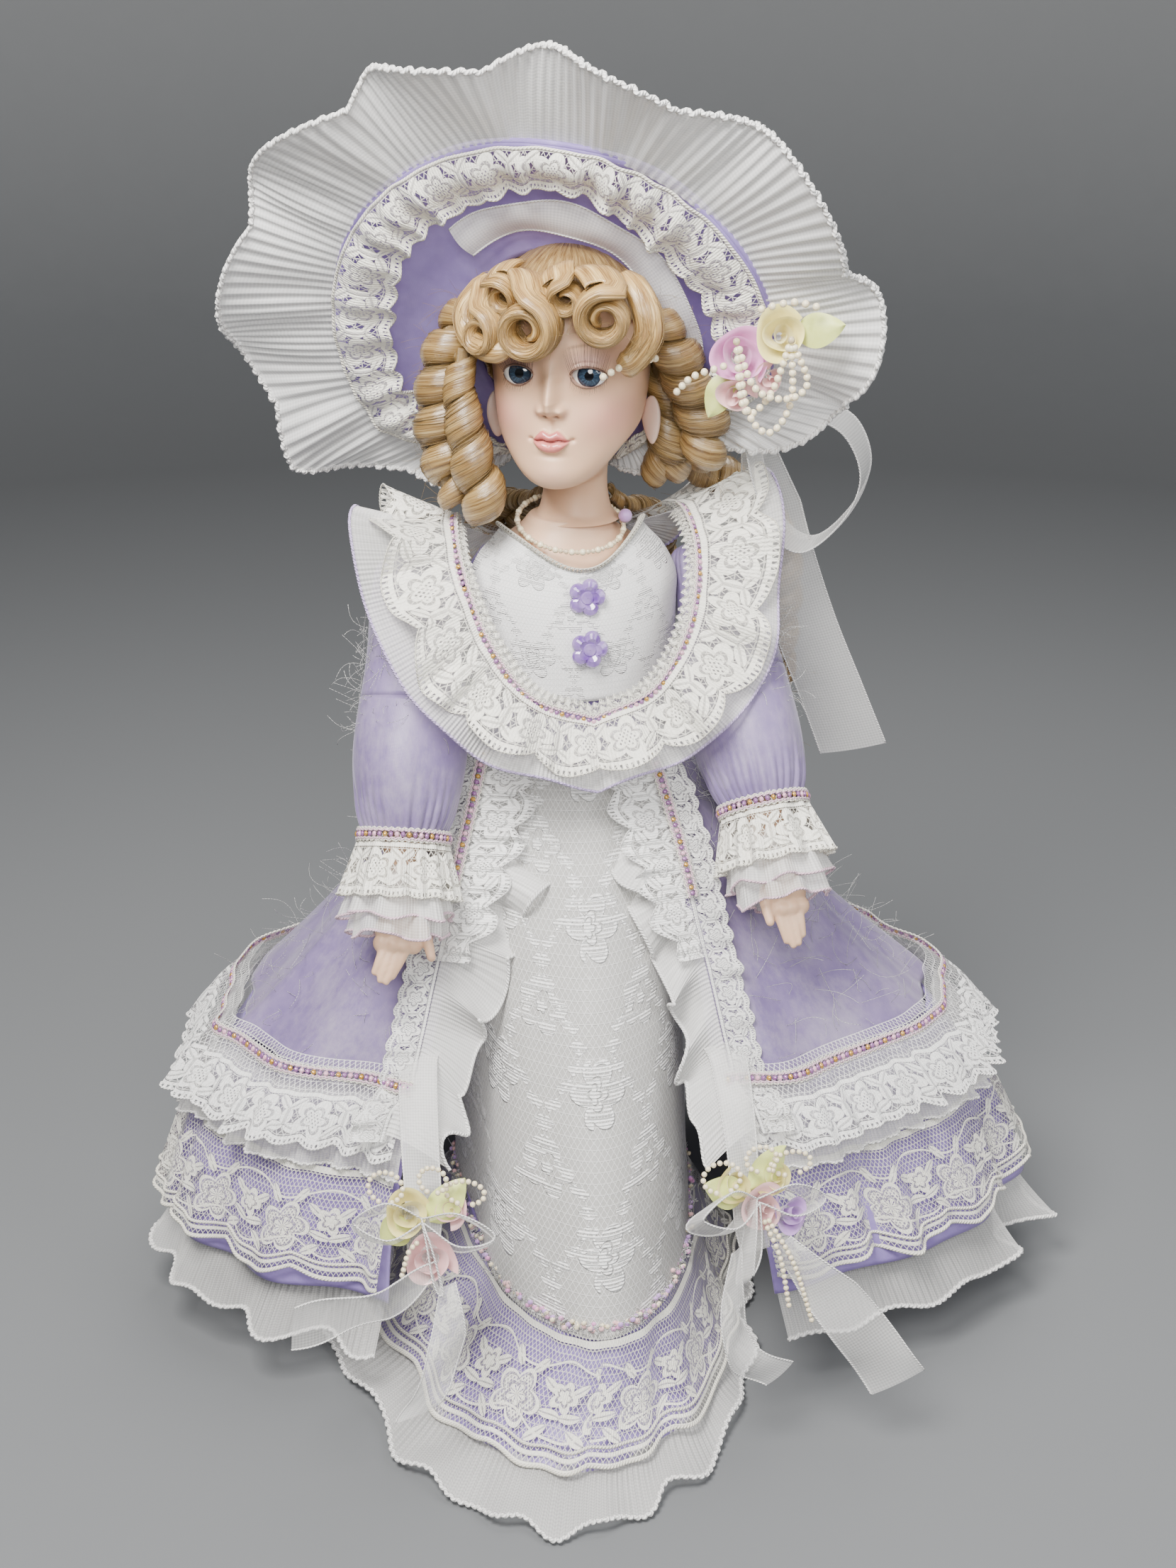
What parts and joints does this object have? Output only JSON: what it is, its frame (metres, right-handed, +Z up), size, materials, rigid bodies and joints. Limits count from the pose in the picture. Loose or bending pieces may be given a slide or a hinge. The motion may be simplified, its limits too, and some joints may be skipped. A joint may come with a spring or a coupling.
{
  "type": "porcelain doll",
  "caption": "Porcelain doll with a swivel head, cloth body, layered lavender and lace dress and a ruffled hat, on a hidden stand.",
  "frame": {"origin": "centre of the display stand's base, on its underside", "axes": "+Z up; the chest faces -Y; +X is the doll's own left. The head is turned to the doll's right."},
  "size_m": [0.3418, 0.2829, 0.4572],
  "materials": {
    "bisque_porcelain": "matte bisque",
    "blue_glass": "gloss",
    "white_cotton": "woven",
    "lavender_satin": "satin",
    "cream_lace": "lace",
    "white_organza": "sheer",
    "blonde_hair": "glossy fibre",
    "pate_card": "matte",
    "white_steel": "gloss enamel",
    "white_vinyl": "gloss",
    "cream_pearl": "pearl",
    "lilac_acrylic": "clear gloss",
    "pink_satin": "satin",
    "yellow_satin": "satin"
  },
  "bodies": {
    "stand": {"stand_base": "white_steel", "stand_tube": "white_steel"},
    "figure": {"stand_rod": "white_steel", "stand_clip": "white_steel", "torso": "white_cotton", "shoulder_plate": "bisque_porcelain", "neck_bolt": "white_steel", "neck_washer": "white_steel", "bodice": "lavender_satin", "yoke_front": "cream_lace", "upper_button": "lilac_acrylic", "lower_button": "lilac_acrylic", "necklace": "cream_pearl", "collar_lace": "cream_lace", "collar_organza": "white_organza", "underskirt": "cream_lace", "underskirt_flounce": "cream_lace", "overskirt": "lavender_satin", "overskirt_lace": "cream_lace", "overskirt_tier": "lavender_satin", "overskirt_hem": "white_organza", "left_jabot": "white_organza", "right_jabot": "white_organza", "left_rosette": "pink_satin", "right_rosette": "yellow_satin", "left_ribbon_tail": "white_organza", "right_ribbon_tail": "white_organza"},
    "head": {"head": "bisque_porcelain", "left_eye": "blue_glass", "right_eye": "blue_glass", "pate": "pate_card", "wig_cap": "blonde_hair", "fringe_curls": "blonde_hair", "left_side_curls": "blonde_hair", "right_side_curls": "blonde_hair", "nape_curls": "blonde_hair", "long_ringlet": "blonde_hair", "hat_crown": "lavender_satin", "hat_brim": "lavender_satin", "hat_lace": "cream_lace", "hat_ruffle": "white_organza", "hat_band": "white_organza", "pink_rose": "pink_satin", "yellow_rose": "yellow_satin", "hat_bow": "white_organza", "hat_ribbon_tail": "white_organza"},
    "left_arm": {"left_upper_arm": "white_cotton", "left_sleeve": "lavender_satin"},
    "left_hand": {"left_forearm": "bisque_porcelain", "left_cuff": "cream_lace"},
    "left_leg": {"left_thigh": "white_cotton", "left_shin": "bisque_porcelain", "left_shoe": "white_vinyl"},
    "right_arm": {"right_upper_arm": "white_cotton", "right_sleeve": "lavender_satin"},
    "right_hand": {"right_forearm": "bisque_porcelain", "right_cuff": "cream_lace"},
    "right_leg": {"right_thigh": "white_cotton", "right_shin": "bisque_porcelain", "right_shoe": "white_vinyl"}
  },
  "joints": [
    {"name": "stand_height", "type": "slide", "parent": "stand", "child": "figure", "axis": [0, 0, 1], "range_m": [0, 0.03]},
    {"name": "head_turn", "type": "hinge", "parent": "figure", "child": "head", "pos_m": [0, 0, 0.303], "axis": [0, 0, 1], "range_deg": [-20, 60], "deforming": ["nape_curls", "long_ringlet"]},
    {"name": "left_shoulder", "type": "hinge", "parent": "figure", "child": "left_arm", "pos_m": [0.0525, 0, 0.276], "axis": [-1, 0, 0], "range_deg": [0, 60], "deforming": ["left_sleeve", "collar_lace", "collar_organza"]},
    {"name": "left_elbow", "type": "hinge", "parent": "left_arm", "child": "left_hand", "pos_m": [0.05717, -0.02963, 0.23014], "axis": [-1, 0, 0], "range_deg": [0, 50], "deforming": ["left_sleeve"]},
    {"name": "left_hip", "type": "hinge", "parent": "figure", "child": "left_leg", "pos_m": [0.0145, 0, 0.172], "axis": [-1, 0, 0], "range_deg": [0, 22]},
    {"name": "right_shoulder", "type": "hinge", "parent": "figure", "child": "right_arm", "pos_m": [-0.0525, 0, 0.276], "axis": [-1, 0, 0], "range_deg": [0, 60], "deforming": ["right_sleeve", "collar_lace", "collar_organza"]},
    {"name": "right_elbow", "type": "hinge", "parent": "right_arm", "child": "right_hand", "pos_m": [-0.0603, -0.02281, 0.22679], "axis": [-1, 0, 0], "range_deg": [0, 50], "deforming": ["right_sleeve"]},
    {"name": "right_hip", "type": "hinge", "parent": "figure", "child": "right_leg", "pos_m": [-0.0145, 0, 0.172], "axis": [-1, 0, 0], "range_deg": [0, 22]}
  ]
}
